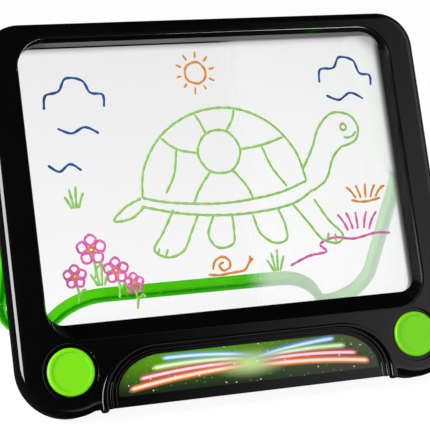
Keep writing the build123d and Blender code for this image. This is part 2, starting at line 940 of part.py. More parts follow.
os.makedirs("parts", exist_ok=True)
for name, shape in placed.items():
    export_step(shape, "parts/" + name + ".step")
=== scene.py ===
import bmesh
import bpy
import json
import math
import random
from functools import partial
from mathutils import Euler, Matrix, Vector


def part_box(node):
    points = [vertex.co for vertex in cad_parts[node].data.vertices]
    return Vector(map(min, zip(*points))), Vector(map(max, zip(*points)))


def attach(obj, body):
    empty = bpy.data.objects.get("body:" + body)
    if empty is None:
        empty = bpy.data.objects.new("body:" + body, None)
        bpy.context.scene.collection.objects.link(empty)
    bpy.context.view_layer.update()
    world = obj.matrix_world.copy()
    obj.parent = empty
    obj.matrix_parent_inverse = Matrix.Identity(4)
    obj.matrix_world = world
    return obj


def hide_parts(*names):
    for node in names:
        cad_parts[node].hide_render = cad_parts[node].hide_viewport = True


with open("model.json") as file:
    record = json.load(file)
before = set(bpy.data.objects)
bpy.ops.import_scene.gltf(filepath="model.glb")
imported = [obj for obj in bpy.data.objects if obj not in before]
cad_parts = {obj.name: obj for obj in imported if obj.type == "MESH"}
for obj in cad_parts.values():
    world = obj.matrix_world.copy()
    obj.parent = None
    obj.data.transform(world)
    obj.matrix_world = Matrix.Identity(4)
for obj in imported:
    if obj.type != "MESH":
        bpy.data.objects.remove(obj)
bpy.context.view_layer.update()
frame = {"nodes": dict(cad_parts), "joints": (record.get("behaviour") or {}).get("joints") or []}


# Camera
# The photograph looks down on the board from the left, from over a metre away, with a long lens and a
# slight roll. Places are in millimetres on the leaning board, from the middle between its buttons:
# across to the right, up its front face, and inward as the buttons travel.
MM = 0.001
across = Vector((1, 0, 0))
inward = Vector(next(joint["axis"] for joint in frame["joints"] if joint["name"] == "power_press"))
up_board = Vector((0, -inward.z, inward.y))
panel_low_corner, panel_high_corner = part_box("drawing_panel")
panel_middle_up = 132.1
panel_middle_in = 11.5
board_origin = (panel_low_corner + panel_high_corner) / 2
board_origin = board_origin - MM * (panel_middle_up * up_board + panel_middle_in * inward)


def on_board(x, up, depth):
    """A place on the board, in metres in the frame."""
    return board_origin + MM * (x * across + up * up_board + depth * inward)


camera_place = on_board(-402.3, -63.7, -1051.8)
camera_aim = on_board(-12.7, 100.2, 0)
camera_roll = math.radians(3.98)
camera_data = bpy.data.cameras.new("camera")
camera_data.lens = 132.6
camera_data.sensor_width = 36
camera = bpy.data.objects.new("camera", camera_data)
camera.location = camera_place
aim = (camera_aim - camera_place).to_track_quat("-Z", "Y")
camera.rotation_euler = (aim @ Euler((0, 0, camera_roll)).to_quaternion()).to_euler()
bpy.context.collection.objects.link(camera)
bpy.context.scene.camera = camera
bpy.context.scene.view_settings.view_transform = "Standard"


# Studio floor, room and lights
# A white vinyl sweep carries the board and keeps its shadow. The room is dark at the left and behind,
# and bright at the front right. The left softbox draws the long light line on the frame's edge, and the
# other two only fill.
def to_linear(code):
    """The linear colour of an sRGB hex value such as 74DE04."""
    levels = [int(code[start : start + 2], 16) / 255 for start in (0, 2, 4)]
    linear = [v / 12.92 if v <= 0.04045 else ((v + 0.055) / 1.055) ** 2.4 for v in levels]
    return (*linear, 1.0)


def add_node(tree, kind, inputs, out=0, **settings):
    """Adds one shader node, whose inputs are values or other nodes' outputs, and gives its output."""
    made = tree.nodes.new("ShaderNode" + kind)
    for name, value in settings.items():
        setattr(made, name, value)
    for socket, value in inputs.items():
        if isinstance(value, bpy.types.NodeSocket):
            tree.links.new(value, made.inputs[socket])
        else:
            made.inputs[socket].default_value = value
    return made.outputs[out]


def new_material(name):
    """An empty material, and the function that adds nodes to its tree."""
    material = bpy.data.materials.new(name)
    material.use_nodes = True
    material.node_tree.nodes.clear()
    return material, partial(add_node, material.node_tree)


def finish_tree(surface, kind="OutputMaterial"):
    """Joins the last shader to its tree's output."""
    end = surface.id_data.nodes.new("ShaderNode" + kind)
    surface.id_data.links.new(surface, end.inputs["Surface"])


def gloss_view(add):
    """A switch: 1 where a gloss mirrors the surface."""
    mirrors = add("LightPath", {}, "Glossy Depth")
    return add("Math", {0: mirrors, 1: 0.5}, operation="GREATER_THAN")


def lens_view(add, in_gloss):
    """A switch: 1 where the lens sees the surface, straight or through the clear sheet."""
    straight = add("LightPath", {}, "Is Camera Ray")
    through = add("LightPath", {}, "Is Transmission Ray")
    either = add("Math", {0: straight, 1: through}, operation="MAXIMUM")
    outside = add("Math", {0: 1.0, 1: in_gloss}, operation="SUBTRACT")
    return add("Math", {0: either, 1: outside}, operation="MULTIPLY")


white = (1, 1, 1, 1)
# Settings that many nodes share: a ramp with soft ends, and a mix of two colours.
softly = {"interpolation_type": "SMOOTHSTEP"}
mixed = {"out": 2, "data_type": "RGBA"}
floor_reach = 6.0
glow_share = 0.84
glow_level = 1.11
floor_material, add = new_material("vinyl_white_matt_sweep")
in_gloss = gloss_view(add)
direct = lens_view(add, in_gloss)
matt = add("BsdfDiffuse", {"Color": to_linear("E6E6E6")})
lift = add("Math", {0: direct, 1: glow_share}, operation="MULTIPLY")
glow = add("Emission", {"Color": white, "Strength": glow_level})
lit_sweep = add("MixShader", {0: lift, 1: matt, 2: glow})
to_right = add("SeparateXYZ", {0: add("TexCoord", {}, "Object")}, "X")
ramp = {"Value": to_right, "From Min": 0.0, "From Max": 1.6, "To Min": 0.015, "To Max": 0.6}
level = add("MapRange", ramp, **softly)
mirrored_sweep = add("Emission", {"Color": white, "Strength": level})
finish_tree(add("MixShader", {0: in_gloss, 1: lit_sweep, 2: mirrored_sweep}))
floor_material.cycles.emission_sampling = "NONE"

floor_mesh = bpy.data.meshes.new("studio_floor")
floor_corners = [(x * floor_reach, y * floor_reach, 0) for x, y in ((-1, -1), (1, -1), (1, 1), (-1, 1))]
floor_mesh.from_pydata(floor_corners, [], [(0, 1, 2, 3)])
floor_mesh.materials.append(floor_material)
floor = bpy.data.objects.new("studio_floor", floor_mesh)
bpy.context.collection.objects.link(floor)

room_slant = -0.55
world = bpy.data.worlds.new("studio_room")
bpy.context.scene.world = world
world.use_nodes = True
world.node_tree.nodes.clear()
add = partial(add_node, world.node_tree)
direct = lens_view(add, gloss_view(add))
direction = add("TexCoord", {}, "Generated")
to_right = add("SeparateXYZ", {0: direction}, "X")
upward = add("SeparateXYZ", {0: direction}, "Z")
low_right = add("Math", {0: upward, 1: room_slant, 2: to_right}, operation="MULTIPLY_ADD")
ramp = {"Value": low_right, "From Min": -0.043, "From Max": 0.298, "To Min": 0.012, "To Max": 1.0}
right_side = add("MapRange", ramp, **softly)
backward = add("SeparateXYZ", {0: direction}, "Y")
ramp = {"Value": backward, "From Min": -0.5, "From Max": 0.1, "To Min": 1.0, "To Max": 0.06}
front_side = add("MapRange", ramp, **softly)
room = add("Math", {0: right_side, 1: front_side}, operation="MULTIPLY")
strength = add("Mix", {0: direct, 2: room, 3: 1.0}, data_type="FLOAT")
finish_tree(add("Background", {"Color": white, "Strength": strength}), "OutputWorld")


def add_softbox(name, place, target, width, height, radiance):
    """A rectangular studio light that faces its target, upright."""
    light = bpy.data.lights.new(name, "AREA")
    light.shape = "RECTANGLE"
    light.size = width
    light.size_y = height
    light.energy = math.pi * width * height * radiance
    lamp = bpy.data.objects.new(name, light)
    facing = (target - place).normalized()
    side = facing.cross(Vector((0, 0, 1))).normalized()
    upright = side.cross(facing)
    lamp.matrix_world = Matrix((side, upright, -facing)).transposed().to_4x4()
    lamp.location = place
    bpy.context.collection.objects.link(lamp)
    return lamp


board_middle = on_board(0, 110, 0)
# Each softbox: its name, its place from the board's middle, its width, height and radiance, and whether
# a gloss mirrors it.
softboxes = [
    ("softbox_left", (-1.16, -0.19, 0.36), 0.7, 0.95, 13.5, True),
    ("softbox_top", (0.1, -0.5, 1.8), 1.2, 1.2, 0.6, False),
    ("softbox_right", (0.9, -0.45, 1.17), 0.6, 0.6, 8.0, False),
]
for name, offset, width, height, radiance, mirrored in softboxes:
    lamp = add_softbox(name, board_middle + Vector(offset), board_middle, width, height, radiance)
    lamp.visible_glossy = mirrored


# Front bezel
# The black front half of the housing, injection moulded in ABS in a polished mould. It has a deep gloss
# with the faint waviness that moulded plastic keeps, and it mirrors the lights as sharp lines.
cloud_size = 35
flow_size = 12


def millimetres(add):
    """The place on a piece, in millimetres."""
    place = add("TexCoord", {}, "Object")
    return add("VectorMath", {0: place, "Scale": 1 / MM}, operation="SCALE")


def moulded_plastic(name, colours, gloss, relief_size, relief_depth, more=None):
    """A moulded plastic: a slightly uneven colour and gloss, over a relief of a size and depth in mm."""
    material, add = new_material(name)
    place = millimetres(add)
    clouds = add("TexNoise", {"Vector": place, "Scale": 1 / cloud_size, "Detail": 4.0})
    shade = add("Mix", {0: clouds, 6: to_linear(colours[0]), 7: to_linear(colours[1])}, **mixed)
    streams = {"Vector": place, "Scale": 1 / flow_size, "Detail": 3.0, "Distortion": 0.6}
    flow = add("TexNoise", streams)
    ends = {"Value": flow, "From Min": 0.3, "From Max": 0.7, "To Min": gloss[0], "To Max": gloss[1]}
    rough = add("MapRange", ends)
    skin = add("TexNoise", {"Vector": place, "Scale": 1 / relief_size, "Detail": 2.0})
    bump = add("Bump", {"Height": skin, "Distance": relief_depth * MM, "Strength": 0.5})
    inputs = {"Base Color": shade, "Roughness": rough, "IOR": 1.52, "Normal": bump}
    finish_tree(add("BsdfPrincipled", {**inputs, **(more or {})}))
    return material


def dress(material, *node_names):
    """Gives pieces from the frame their finish."""
    for node_name in node_names:
        for slot in frame["nodes"][node_name].material_slots:
            slot.material = material


polished_black = moulded_plastic("abs_black_polished_moulding", ("040405", "070708"), (0.05, 0.1), 14, 0.03)
dress(polished_black, "front_bezel")


# Name label
# A printed polypropylene film, glued in the name plate's recess under a clear gloss varnish. Its print
# is a green night glow that greys to the right, with coloured light trails and small white sparks.
label_top = 6.3
label_bottom = -20.8
trail_start = 5.0
trail_end = 26.0
trail_core = 0.35
glow_half_width = 34.0
glow_half_height = 12.0
spark_limit = 0.55
mottle_size = 0.9
wave_size = 18


def board_place(add):
    """The place on a piece in mm from the board's origin, and its parts across and up the board."""
    place = add("TexCoord", {}, "Object")
    from_origin = add("VectorMath", {0: place, 1: board_origin}, operation="SUBTRACT")
    in_mm = add("VectorMath", {0: from_origin, "Scale": 1 / MM}, operation="SCALE")
    x = add("SeparateXYZ", {0: in_mm}, "X")
    up = add("VectorMath", {0: in_mm, 1: up_board}, "Value", operation="DOT_PRODUCT")
    return in_mm, x, up


film, add = new_material("polypropylene_film_printed_gloss")
in_mm, label_x, label_up = board_place(add)
fade = add("MapRange", {"Value": label_up, "From Min": label_bottom, "From Max": label_top}, **softly)
grounds = []
for dark, light in (("1C2A18", "5E9A12"), ("363A2E", "44562C")):
    grounds.append(add("Mix", {0: fade, 6: to_linear(dark), 7: to_linear(light)}, **mixed))
greyed = add("MapRange", {"Value": label_x, "From Min": -40.0, "From Max": 92.0}, **softly)
print_layer = add("Mix", {0: greyed, 6: grounds[0], 7: grounds[1]}, **mixed)


def light_trail(add, under, colour, start, end, height, slope, bend, width):
    """Draws one soft trail over a print: height + slope * t + bend * t * t, t in mm from its start."""
    along = add("Math", {0: label_x, 1: start}, operation="SUBTRACT")
    rise = add("Math", {0: along, 1: bend, 2: slope}, operation="MULTIPLY_ADD")
    line = add("Math", {0: along, 1: rise, 2: height}, operation="MULTIPLY_ADD")
    off = add("Math", {0: label_up, 1: line}, operation="SUBTRACT")
    away = add("Math", {0: off}, operation="ABSOLUTE")
    way = 1 if end > start else -1
    begun = add("MapRange", {"Value": along, "From Min": 0.0, "From Max": way * trail_start}, **softly)
    head = {"Value": label_x, "From Min": end, "From Max": end - way * trail_end}
    lasting = add("MapRange", head, **softly)
    span = add("Math", {0: begun, 1: lasting}, operation="MULTIPLY")
    for reach, tone, share in ((1.0, to_linear(colour), 0.95), (0.45, white, 0.7)):
        edge = {"Value": away, "From Min": reach * width, "From Max": trail_core * reach * width}
        cover = add("MapRange", edge, **softly)
        strong = add("Math", {0: cover, 1: span}, operation="MULTIPLY")
        part = add("Math", {0: strong, 1: share}, operation="MULTIPLY")
        under = add("Mix", {0: part, 6: under, 7: tone}, **mixed)
    return under


# Each trail: its colour, then start, end, height, slope, bend and half width as light_trail takes them.
trails = [
    ("4CA8DC", -66, 6, 2.6, 0.02, -0.0012, 3.1),
    ("A8CC4C", -74, 2, -3.6, 0.09, -0.0013, 2.9),
    ("E03C6E", -84, -4, -10.2, 0.14, -0.0011, 3.1),
    ("F0802C", -92, 0, -16.8, 0.17, -0.0009, 3.2),
    ("4CA0E0", 68, -2, 3.6, 0.04, -0.0012, 3.1),
    ("94C444", 76, 6, -2.4, -0.06, -0.0013, 2.9),
    ("E0386A", 84, 4, -8.6, -0.12, -0.0012, 3.1),
    ("F08634", 93, 2, -15.2, -0.15, -0.0010, 3.3),
]
middle_up = (label_top + label_bottom) / 2
wide = add("Math", {0: label_x, 1: glow_half_width}, operation="DIVIDE")
raised = add("Math", {0: label_up, 1: middle_up}, operation="SUBTRACT")
tall = add("Math", {0: raised, 1: glow_half_height}, operation="DIVIDE")
oval = add("CombineXYZ", {0: wide, 1: tall})
from_centre = add("VectorMath", {0: oval}, "Value", operation="LENGTH")
glow_ramp = {"Value": from_centre, "From Min": 1.0, "From Max": 0.0, "To Max": 0.8}
centre_glow = add("MapRange", glow_ramp, **softly)
pale_green = to_linear("D4F0A0")
print_layer = add("Mix", {0: centre_glow, 6: print_layer, 7: pale_green}, **mixed)
for trail in trails:
    print_layer = light_trail(add, print_layer, *trail)
flat_place = add("CombineXYZ", {0: label_x, 1: label_up})
for spacing, reach in ((9.0, 0.075), (5.0, 0.06)):
    grid = {"Vector": flat_place, "Scale": 1 / spacing, "Randomness": 1.0}
    nearest = add("TexVoronoi", grid, "Distance", voronoi_dimensions="2D")
    lot = add("TexVoronoi", grid, "Color", voronoi_dimensions="2D")
    chance = add("SeparateColor", {0: lot})
    chosen = add("Math", {0: chance, 1: spark_limit}, operation="GREATER_THAN")
    spark = add("MapRange", {"Value": nearest, "From Min": reach, "From Max": 0.2 * reach}, **softly)
    shown = add("Math", {0: spark, 1: chosen}, operation="MULTIPLY")
    print_layer = add("Mix", {0: shown, 6: print_layer, 7: white}, **mixed)
mottle = add("TexNoise", {"Vector": in_mm, "Scale": 1 / mottle_size, "Detail": 2.0})
film_waves = add("TexNoise", {"Vector": in_mm, "Scale": 1 / wave_size, "Detail": 1.0})
lay = add("Bump", {"Height": film_waves, "Distance": 0.04 * MM, "Strength": 0.5})
ends = {"Value": mottle, "From Min": 0.3, "From Max": 0.7, "To Min": 0.08, "To Max": 0.16}
film_gloss = add("MapRange", ends)
film_inputs = {"Base Color": print_layer, "Roughness": film_gloss, "IOR": 1.49, "Normal": lay}
finish_tree(add("BsdfPrincipled", film_inputs))
dress(film, "name_label")


# Buttons
# Two dished push caps, moulded in bright green ABS. Light soaks a little way into the pigment, and the
# faces have a soft gloss.
soaked = {"Subsurface Weight": 0.06, "Subsurface Radius": (0.002, 0.003, 0.0005), "Subsurface Scale": 0.6}
bright_green = moulded_plastic(
    "abs_green_gloss_moulding", ("76D800", "78DA00"), (0.34, 0.4), 0.7, 0.02, soaked
)
dress(bright_green, "power_button", "mode_button")


# Drawing panel
# A sheet of clear cast acrylic, 3 mm thick with polished faces, gripped along its edges. It passes
# almost all light. A painted white sheen, a diffuse wash that stands in for its shine, covers its right
# side and thickens in the top right corner. Painted shade greys it towards its top and along its top
# and right edges.
window_half = 141.2
window_high = 231.2
shade_width = 6.0
gloss_passed = 0.97
clear_acrylic, add = new_material("acrylic_clear_cast_sheet")
sheet_x, sheet_up = board_place(add)[1:]
# Painted sheen: a white diffuse wash that rises across the sheet to the right and stands in for its shine.
sheen_start_ramp = {"Value": sheet_x, "From Min": 6.0, "From Max": 31.0, "To Max": 0.44}
painted_sheen_start = add("MapRange", sheen_start_ramp, **softly)
sheen_rise_ramp = {"Value": sheet_x, "From Min": 29.0, "From Max": 115.0, "To Max": 0.12}
painted_sheen_rise = add("MapRange", sheen_rise_ramp)
painted_sheen = add("Math", {0: painted_sheen_start, 1: painted_sheen_rise}, operation="ADD")
# The painted sheen thickens in the top right corner, over the hinge lug behind the sheet.
corner_sheen_ramp = {"Value": sheet_x, "From Min": 108.0, "From Max": 124.0, "To Max": 0.42}
corner_across = add("MapRange", corner_sheen_ramp, **softly)
corner_up = add("MapRange", {"Value": sheet_up, "From Min": 121.0, "From Max": 128.0}, **softly)
corner_painted_sheen = add("Math", {0: corner_across, 1: corner_up}, operation="MULTIPLY")
painted_sheen = add("Math", {0: painted_sheen, 1: corner_painted_sheen}, operation="ADD")
leaving = add("NewGeometry", {}, "Backfacing")
entering = add("Math", {0: 1.0, 1: leaving}, operation="SUBTRACT")
facing = add("NewGeometry", {}, "True Normal")
rearward = add("VectorMath", {0: facing, 1: -inward}, "Value", operation="DOT_PRODUCT")
on_front = add("Math", {0: rearward, 1: 0.5}, operation="GREATER_THAN")
from_front = add("Math", {0: entering, 1: on_front}, operation="MULTIPLY")
painted_sheen_cover = add("Math", {0: painted_sheen, 1: from_front}, operation="MULTIPLY")
# Painted shade: the clear sheet's tint darkens towards its top, and along its top and right edges.
rise = {"Value": sheet_up, "From Min": 40.0, "From Max": 230.0}
tone = add("MapRange", {**rise, "To Min": 0.965, "To Max": 0.9})
for value, limit, left_over in ((sheet_up, window_high, 0.5), (sheet_x, window_half, 0.1)):
    ends = {"From Min": limit - shade_width, "From Max": limit, "To Min": 1.0, "To Max": left_over}
    rim_shade = add("MapRange", {"Value": value, **ends}, **softly)
    tone = add("Math", {0: tone, 1: rim_shade}, operation="MULTIPLY")
tint = add("CombineColor", {0: tone, 1: tone, 2: tone})
body = {"Base Color": tint, "Roughness": 0.0, "IOR": 1.49, "Transmission Weight": 1.0}
clear = add("BsdfPrincipled", body)
# The painted sheen's colour darkens towards the top and along the right edge, as painted shade.
sheen_colours_by_height = {0: add("MapRange", rise), 6: to_linear("FBFDFB"), 7: to_linear("EAECEA")}
painted_sheen_colour = add("Mix", sheen_colours_by_height, **mixed)
painted_sheen_colour = add("VectorMath", {0: painted_sheen_colour, "Scale": rim_shade}, operation="SCALE")
sheen = add("BsdfDiffuse", {"Color": painted_sheen_colour})
clear_with_painted_sheen = add("MixShader", {0: painted_sheen_cover, 1: clear, 2: sheen})
shadow_ray = add("LightPath", {}, "Is Shadow Ray")
open_air = add("BsdfTransparent", {"Color": to_linear("F6F6F6")})
unmirrored = add("Math", {0: gloss_view(add), 1: gloss_passed}, operation="MULTIPLY")
let_through = add("Math", {0: shadow_ray, 1: unmirrored}, operation="MAXIMUM")
finish_tree(add("MixShader", {0: let_through, 1: clear_with_painted_sheen, 2: open_air}))
dress(clear_acrylic, "drawing_panel")


# Marker drawing
# A child's picture on the sheet's front face, in neon chalk marker: a turtle, clouds, a sun and
# flowers. The ink dries in low rounded ribbons that are thinner and streaky where the tip ran fast.
line_width = 1.85
line_height = 0.14
line_step = 1.1
line_swell = 0.14
line_wander = 0.08
round_end = 1.5
streak_size = 2.2
powder_size = 0.25
sheet_front = 9.99
draw = random.Random(7)


def point_at(points, index, closed=False):
    """The point at an index, which wraps round a closed line and stops at an open line's ends."""
    return points[index % len(points) if closed else min(max(index, 0), len(points) - 1)]


def smooth_path(points, closed, step):
    """Points every step or so along a smooth curve through the given ones."""
    path = []
    for index in range(len(points) if closed else len(points) - 1):
        near = [point_at(points, index + shift, closed) for shift in (-1, 0, 1, 2)]
        before, start, end, after = (Vector(point) for point in near)
        pieces = max(2, int((end - start).length / step))
        for piece in range(pieces):
            t = piece / pieces
            bent = 2 * start + t * (end - before)
            bent += t * t * (2 * before - 5 * start + 4 * end - after)
            bent += t * t * t * (3 * start - before - 3 * end + after)
            path.append(bent / 2)
    if not closed:
        path.append(Vector(points[-1]))
    return path


def skin_rings(mesh, rings, closed=False):
    """Joins rings of vertices by bands of faces, with end caps if open, and gives each band's faces."""
    pairs = list(zip(rings, rings[1:]))
    if closed:
        pairs.append((rings[-1], rings[0]))
    bands = []
    for first, second in pairs:
        band = []
        for index in range(len(first)):
            other = (index + 1) % len(first)
            band.append(mesh.faces.new((first[index], first[other], second[other], second[index])))
        bands.append(band)
    if not closed:
        bands[0].append(mesh.faces.new(rings[0][::-1]))
        bands[-1].append(mesh.faces.new(rings[-1]))
    return bands


def add_stroke(mesh, points, closed=False):
    """Adds one marker line to a mesh: a closed low ribbon with round ends."""
    path = smooth_path(points, closed, line_step)
    phase = draw.uniform(0, math.tau)
    rings = []
    for index, place in enumerate(path):
        way = (point_at(path, index + 1, closed) - point_at(path, index - 1, closed)).normalized()
        side = Vector((-way.y, way.x))
        swell = 1 + line_swell * math.sin(0.9 * index + phase) + draw.uniform(-0.05, 0.05)
        if not closed:
            from_end = min(index, len(path) - 1 - index)
            swell *= math.sqrt(1 - (1 - min(from_end / round_end, 1)) ** 2 * 0.8)
        half = line_width / 2 * swell
        middle = place + side * draw.uniform(-line_wander, line_wander)
        ring = []
        for sideways, rise in ((-1, 0), (-0.7, 0.75), (0, 1), (0.7, 0.75), (1, 0)):
            spot = middle + side * (half * sideways)
            depth = sheet_front - rise * line_height * swell
            ring.append(mesh.verts.new(on_board(spot.x, spot.y, depth)))
        rings.append(ring)
    skin_rings(mesh, rings, closed)


def circle_points(x, up, radius, count=10):
    """Points round a hand-drawn circle."""
    places = []
    for index in range(count):
        angle = math.tau * index / count
        reach = radius * (1 + draw.uniform(-0.06, 0.06))
        places.append((x + reach * math.cos(angle), up + reach * math.sin(angle)))
    return places


def mesh_object(name, mesh, *materials, smooth=True):
    """A finished object from a mesh under construction, with its faces turned outwards."""
    bmesh.ops.recalc_face_normals(mesh, faces=mesh.faces)
    for face in mesh.faces:
        face.smooth = smooth
    data = bpy.data.meshes.new(name)
    mesh.to_mesh(data)
    mesh.free()
    for finish in materials:
        data.materials.append(finish)
    made = bpy.data.objects.new(name, data)
    bpy.context.collection.objects.link(made)
    return made


def marker_ink(name, thin, thick):
    """Dried chalk ink: pale where it is thin, full where it pooled, with a powdery surface."""
    material, add = new_material(name)
    place = millimetres(add)
    drag = {"Vector": place, "Scale": 1 / streak_size, "Detail": 3.0, "Roughness": 0.7}
    streaks = add("TexNoise", drag)
    pooled = add("MapRange", {"Value": streaks, "From Min": 0.32, "From Max": 0.62})
    colours = {0: pooled, 6: to_linear(thin), 7: to_linear(thick)}
    colour = add("Mix", colours, **mixed)
    powder = add("TexNoise", {"Vector": place, "Scale": 1 / powder_size, "Detail": 2.0})
    grain = add("Bump", {"Height": powder, "Distance": 0.02 * MM, "Strength": 0.6})
    inputs = {"Base Color": colour, "Roughness": 0.7, "IOR": 1.45, "Normal": grain}
    finish_tree(add("BsdfPrincipled", inputs))
    return material


turtle = [
    [(-62, 118), (-58, 140), (-42, 163), (-15, 178), (15, 180), (42, 168), (60, 146), (66, 122)],
    [(66, 122), (40, 114), (0, 110), (-40, 113), (-62, 118)],
    [(-64, 112), (-30, 104), (10, 101), (50, 105), (70, 115)],
    [(64, 130), (74, 146), (82, 162), (94, 172), (108, 170), (114, 160), (110, 150), (98, 146)],
    [(98, 146), (90, 138), (82, 122), (70, 114)],
    [(112, 157), (107, 153), (101, 153)],
    [(52, 106), (62, 92), (72, 78), (84, 74), (89, 80), (79, 92), (70, 108)],
    [(-40, 108), (-50, 92), (-58, 80), (-48, 74), (-36, 78), (-28, 92), (-22, 103)],
    [(20, 100), (24, 86), (34, 78), (44, 80), (44, 92), (40, 103)],
    [(-10, 102), (-16, 88), (-10, 78), (2, 80), (4, 92), (4, 101)],
    [(-63, 118), (-76, 112), (-85, 103), (-72, 104), (-62, 111)],
    [(-16, 148), (-8, 162), (8, 163), (17, 149), (9, 134), (-8, 134)],
    [(-16, 148), (-32, 152), (-43, 161)],
    [(-8, 162), (-12, 172), (-15, 177)],
    [(8, 163), (14, 172), (16, 179)],
    [(17, 149), (34, 151), (52, 156)],
    [(9, 134), (18, 122), (22, 112)],
    [(-8, 134), (-18, 122), (-24, 111)],
    [(-32, 152), (-36, 134), (-44, 120)],
    [(34, 151), (40, 134), (50, 119)],
    [(-56, 76), (-54, 81)],
    [(-50, 75), (-48, 80)],
    [(76, 76), (78, 82)],
    [(83, 75), (83, 81)],
]
cloud_shapes = [
    [(-126, 186), (-124, 196), (-114, 199), (-108, 208), (-96, 206), (-91, 197), (-82, 195), (-82, 186)],
    [(-118, 172), (-108, 168), (-98, 172), (-88, 167)],
    [(88, 196), (90, 206), (101, 207), (107, 215), (118, 212), (122, 202), (130, 200), (130, 192)],
    [(92, 186), (102, 182), (112, 187), (122, 182)],
    [(-128, 146), (-120, 141), (-112, 146), (-104, 141)],
]
shell_ring = 11
eye_x, eye_up, eye_radius = 102, 161, 2.4
grass_tufts = [(-112, 114), (-100, 58), (33, 57)]
flower_places = [(-104, 84, 5.4), (-88, 68, 4.6), (-118, 66, 4.2), (-76, 58, 3.6)]

green_lines = bmesh.new()
for index, points in enumerate(turtle):
    add_stroke(green_lines, points, closed=index == shell_ring)
add_stroke(green_lines, circle_points(eye_x, eye_up, eye_radius, 7), closed=True)
for x, up in grass_tufts:
    for lean, tall in ((-7, 9), (-3, 14), (2, 16), (7, 11)):
        blade = [(x + lean / 3, up), (x + lean * 0.7, up + tall * 0.6), (x + lean, up + tall)]
        add_stroke(green_lines, blade)
for x, up, size in flower_places:
    low = up - size
    add_stroke(green_lines, [(x, low), (x + 1.5, low - 7), (x + 0.5, low - 15)])
    add_stroke(green_lines, [(x + 1, low - 9), (x + 6, low - 5), (x + 7, low - 8)])

blue_lines = bmesh.new()
for points in cloud_shapes:
    add_stroke(blue_lines, points)

petal_root = 0.55
petal_belly = 1.35
petal_tip = 2.0
petal_half = 0.75
pink_lines = bmesh.new()
for x, up, size in flower_places:
    for petal in range(5):
        angle = math.tau * (petal / 5 + 0.05)
        way_x, way_up = size * math.cos(angle), size * math.sin(angle)
        belly_x, belly_up = x + petal_belly * way_x, up + petal_belly * way_up
        loop = [
            (x + petal_root * way_x, up + petal_root * way_up),
            (belly_x - petal_half * way_up, belly_up + petal_half * way_x),
            (x + petal_tip * way_x, up + petal_tip * way_up),
            (belly_x + petal_half * way_up, belly_up - petal_half * way_x),
        ]
        add_stroke(pink_lines, loop, closed=True)
hill = [(44, 60), (60, 66), (74, 68), (70, 74), (82, 78), (98, 76), (116, 79), (128, 78)]
add_stroke(pink_lines, hill)
for x, up, lean in ((94, 82, -7), (98, 83, -4), (102, 83, 0), (107, 83, 4), (111, 82, 8)):
    add_stroke(pink_lines, [(x, up), (x + 0.4 * lean, up + 7), (x + lean, up + 13)])

sun_x, sun_up, sun_radius = -10, 208, 8
snail = [(-16, 62), (-14, 68), (-8, 71), (-3, 68), (-3, 63), (-8, 61), (-11, 65), (-7, 67)]
orange_lines = bmesh.new()
add_stroke(orange_lines, snail)
add_stroke(orange_lines, [(-20, 59), (-12, 58), (0, 59), (8, 60), (12, 65), (14, 70)])
add_stroke(orange_lines, [(12, 65), (16, 68)])
for x, lean in ((104, -7), (108, -3), (112, 1), (116, 5), (120, 9)):
    add_stroke(orange_lines, [(x, 106), (x + 0.5 * lean, 112), (x + lean, 117 - 0.3 * abs(lean))])
add_stroke(orange_lines, [(100, 105), (110, 103), (124, 105)])
add_stroke(orange_lines, circle_points(sun_x, sun_up, sun_radius), closed=True)
for ray in range(10):
    angle = math.tau * ray / 10 + 0.2
    near, far = sun_radius + 3, 15 + draw.uniform(-1, 1.5)
    start = (sun_x + near * math.cos(angle), sun_up + near * math.sin(angle))
    end = (sun_x + far * math.cos(angle), sun_up + far * math.sin(angle))
    add_stroke(orange_lines, [start, end])
for x, up, size in flower_places:
    add_stroke(orange_lines, circle_points(x, up, size * 0.34, 6), closed=True)

# Each ink: its hue, its lines, and its colour where it is thin and where it is thick.
drawing = [
    ("green", green_lines, "A2D07C", "82BC4C"),
    ("blue", blue_lines, "1462A8", "00387C"),
    ("pink", pink_lines, "E87CB8", "CC429C"),
    ("orange", orange_lines, "E0A048", "C87A1C"),
]
for hue, lines, thin, thick in drawing:
    ink = marker_ink(f"chalk_marker_{hue}_dried", thin, thick)
    drawn = mesh_object(f"drawing_{hue}_lines", lines, ink)
    drawn.visible_glossy = False
    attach(drawn, "board")


# Rear cover and battery door
# The back half of the housing and its battery door, in the same black ABS from a spark-eroded mould,
# which leaves a fine even grain and a satin sheen.
satin_black = moulded_plastic("abs_black_satin_moulding", ("0C0C0D", "121213"), (0.3, 0.42), 0.7, 0.03)
dress(satin_black, "rear_cover", "battery_door")


# Stand
# The folding stand, moulded in green ABS with a satin skin: a channel bent to a loop, with thin webs
# across it, two round feet and a raised crossbar. Light soaks into its thin walls, and a weak painted
# glow of deep green keeps its shaded sides a vivid green.
soaked = {"Subsurface Weight": 0.4, "Subsurface Radius": (0.002, 0.006, 0.0005), "Subsurface Scale": 1.0}
# A painted glow: a weak emission of deep green, though the stand is no lamp.
soaked.update({"Emission Color": to_linear("009400"), "Emission Strength": 0.3})
deep_green = moulded_plastic(
    "abs_green_satin_moulding", ("48B400", "4CB602"), (0.26, 0.36), 0.9, 0.012, soaked
)
deep_green.cycles.emission_sampling = "NONE"
dress(deep_green, "stand_frame")


# Window edge
# The bezel's slope ends at the front in a narrow rounded arris of the same polished ABS. Swept as a thin
# bead that stands a tenth of a millimetre out of the mould's corner, it draws the window's light line.
corner_steps = 16
arris_radius = 0.45
arris_depth = 1.32
edge_half = 144.45
edge_low = 20.75
edge_high = 235.75
edge_radius = 23.8


